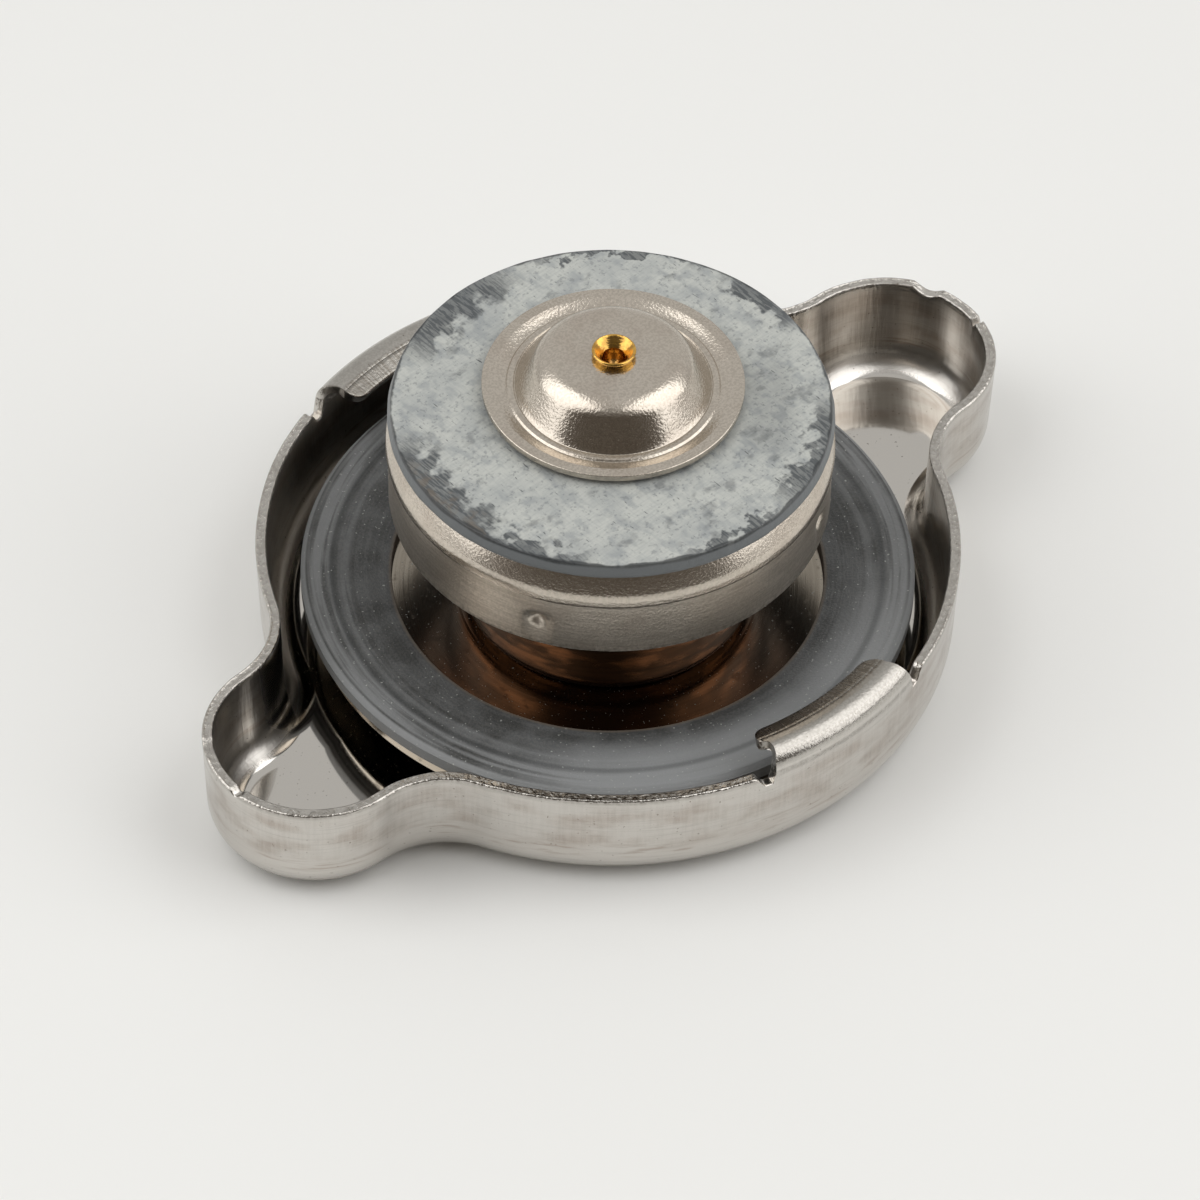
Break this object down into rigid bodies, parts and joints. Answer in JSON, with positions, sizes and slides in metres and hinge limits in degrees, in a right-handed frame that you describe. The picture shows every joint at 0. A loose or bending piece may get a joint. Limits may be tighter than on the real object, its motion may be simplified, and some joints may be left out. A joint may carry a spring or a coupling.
{
  "type": "radiator cap",
  "caption": "Pressed-metal radiator cap with two ears and cam lugs, lying on its outer face, with sprung pressure and vacuum valves.",
  "frame": {"origin": "on the resting outer face, under the middle of the overall box, which is the cap's own axis", "axes": "+X along the two ears, +Y towards a cam lug, +Z out of the outer face towards the valves, into the filler neck"},
  "size_m": [0.0652, 0.046, 0.0242],
  "materials": {
    "nickel_plate": "bright nickel plate, brushed and rubbed in places",
    "satin_nickel": "satin nickel plate",
    "polished_steel": "mirror-bright spring steel",
    "rivet_steel": "plain plated steel",
    "spring_steel": "drawn spring wire",
    "copper_plate": "brown copper-toned plate",
    "brass": "bright turned brass",
    "dark_rubber": "dark blue-grey rubber, slightly dusty",
    "grey_rubber": "pale bloomed rubber with dark rubbed edges"
  },
  "bodies": {
    "cover": {"cap_shell": "nickel_plate"},
    "seal_stack": {"centre_rivet": "rivet_steel", "spacer_washer": "rivet_steel", "spring_disc": "polished_steel", "upper_gasket": "dark_rubber", "bell_housing": "copper_plate", "rivet_washer": "rivet_steel", "main_spring": "spring_steel"},
    "pressure_valve": {"valve_cup": "satin_nickel", "pressure_gasket": "grey_rubber", "spring_seat": "rivet_steel", "vacuum_spring": "spring_steel"},
    "vacuum_valve": {"vacuum_disc": "satin_nickel", "vacuum_stem": "brass", "vacuum_retainer": "rivet_steel"}
  },
  "joints": [
    {"name": "stack_swivel", "type": "hinge", "parent": "cover", "child": "seal_stack", "pos_m": [0, 0, 0.0023], "axis": [0, 0, 1], "continuous": true},
    {"name": "pressure_lift", "type": "slide", "parent": "seal_stack", "child": "pressure_valve", "axis": [0, 0, -1], "range_m": [0, 0.0024], "stiffness_N_per_m": 4000, "deforming": ["main_spring"]},
    {"name": "vacuum_lift", "type": "slide", "parent": "pressure_valve", "child": "vacuum_valve", "axis": [0, 0, 1], "range_m": [0, 0.0015], "stiffness_N_per_m": 150, "deforming": ["vacuum_spring"]}
  ]
}
